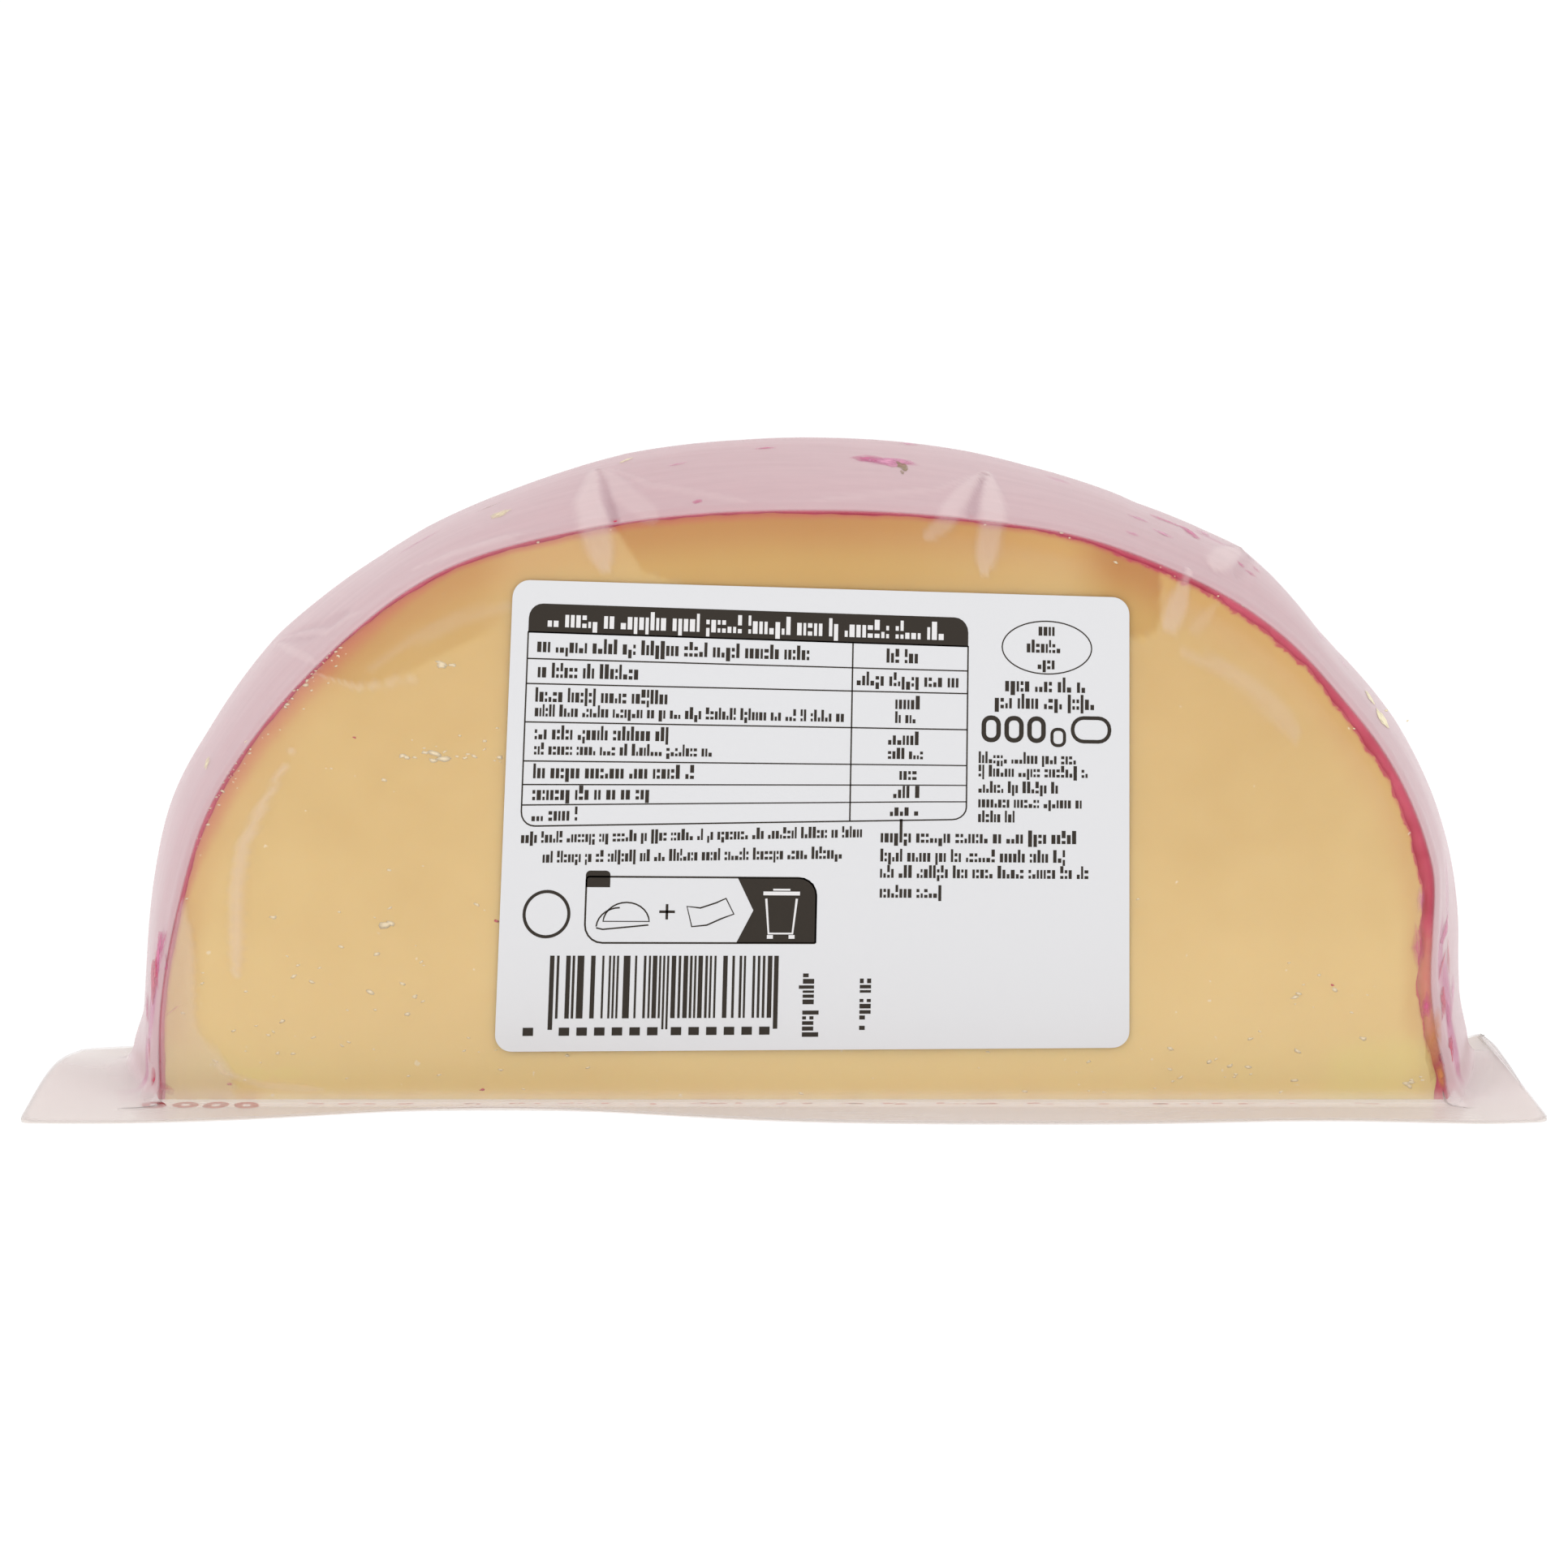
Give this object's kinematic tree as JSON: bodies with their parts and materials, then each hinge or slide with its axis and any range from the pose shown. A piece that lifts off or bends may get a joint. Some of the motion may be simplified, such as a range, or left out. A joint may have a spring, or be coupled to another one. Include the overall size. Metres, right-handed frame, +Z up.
{
  "type": "vacuum-packed half-moon cheese slice",
  "caption": "Half-moon slice of waxed semi-hard cheese, sealed in clear formed film that stands on a flat printed base film, with a plain paper sticker on its front.",
  "frame": {"origin": "middle of the underside of the base film, on the surface that the pack stands on", "axes": "+Z up, +X along the length of the pack, the front with the sticker faces -Y"},
  "size_m": [0.2, 0.045, 0.0878],
  "materials": {
    "cheese": "cut face of pale yellow semi-hard cheese, smooth, slightly moist, a little cloudy, redder near the wax",
    "red_wax": "dipped red cheese wax, satin, cut through at the faces",
    "clear_film": "clear formed packaging film, glossy, slightly hazy and creased",
    "printed_film": "translucent base film with small red print marks, satin",
    "sticker_paper": null
  },
  "bodies": {
    "root": {"cheese_paste": "cheese", "wax_rind": "red_wax", "formed_film": "clear_film", "base_film": "printed_film", "label": "sticker_paper"}
  },
  "joints": []
}
